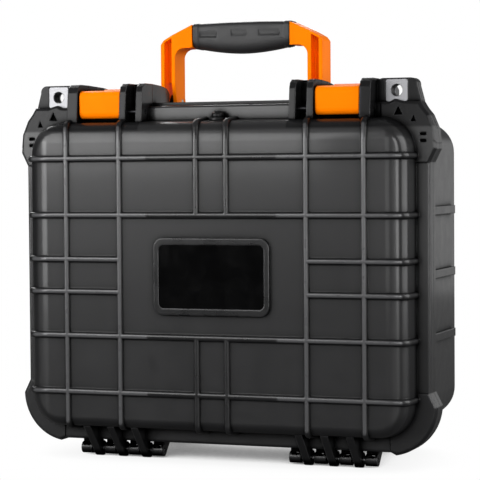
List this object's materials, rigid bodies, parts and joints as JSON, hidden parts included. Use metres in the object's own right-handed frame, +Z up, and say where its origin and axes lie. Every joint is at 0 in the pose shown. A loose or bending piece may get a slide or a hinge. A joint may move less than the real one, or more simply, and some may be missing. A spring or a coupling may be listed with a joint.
{
  "type": "hard protective case",
  "caption": "Moulded hard case with a ribbed hinged lid, orange snap latches, folding grip handle, lined padlock ears and foam inside.",
  "frame": {"origin": "on the floor under the middle of the case's width and depth, the case standing on its hinge side", "axes": "+Z up towards the handle, -Y out of the lid's face, +X along the hinge line"},
  "size_m": [0.406, 0.188, 0.409],
  "materials": {
    "shell_plastic": "satin",
    "orange_plastic": "satin",
    "label_plastic": "gloss",
    "steel": "satin",
    "grip_rubber": "matte",
    "seal_rubber": "matte",
    "foam": "matte"
  },
  "bodies": {
    "base": {"base_shell": "shell_plastic", "base_pad_foam": "foam", "base_under_foam": "foam", "base_pocket_foam": "foam", "hinge_pin_left": "steel", "hinge_pin_right": "steel", "handle_pin_left": "steel", "handle_pin_right": "steel", "base_ear_plate_left": "steel", "base_ear_plate_right": "steel"},
    "lid": {"lid_shell": "shell_plastic", "lid_seal": "seal_rubber", "label_plate": "label_plastic", "lid_foam": "foam", "latch_pin_left": "steel", "latch_pin_right": "steel", "lid_ear_plate_left": "steel", "lid_ear_plate_right": "steel", "valve_body": "shell_plastic", "valve_washer": "seal_rubber", "valve_nut": "shell_plastic"},
    "latch_left": {"latch_lever_left": "orange_plastic", "latch_hook_left": "steel"},
    "latch_right": {"latch_lever_right": "orange_plastic", "latch_hook_right": "steel"},
    "handle": {"handle_frame": "orange_plastic", "handle_grip": "grip_rubber"}
  },
  "joints": [
    {"name": "lid_hinge", "type": "hinge", "parent": "base", "child": "lid", "pos_m": [0, -0.056, 0.007], "axis": [1, 0, 0], "range_deg": [0, 110]},
    {"name": "latch_left_pivot", "type": "hinge", "parent": "lid", "child": "latch_left", "pos_m": [-0.1155, -0.0726, 0.323], "axis": [1, 0, 0], "range_deg": [0, 90]},
    {"name": "latch_right_pivot", "type": "hinge", "parent": "lid", "child": "latch_right", "pos_m": [0.1155, -0.0726, 0.323], "axis": [1, 0, 0], "range_deg": [0, 90]},
    {"name": "handle_pivot", "type": "hinge", "parent": "base", "child": "handle", "pos_m": [0, 0.006, 0.334], "axis": [-1, 0, 0], "range_deg": [0, 90]}
  ]
}
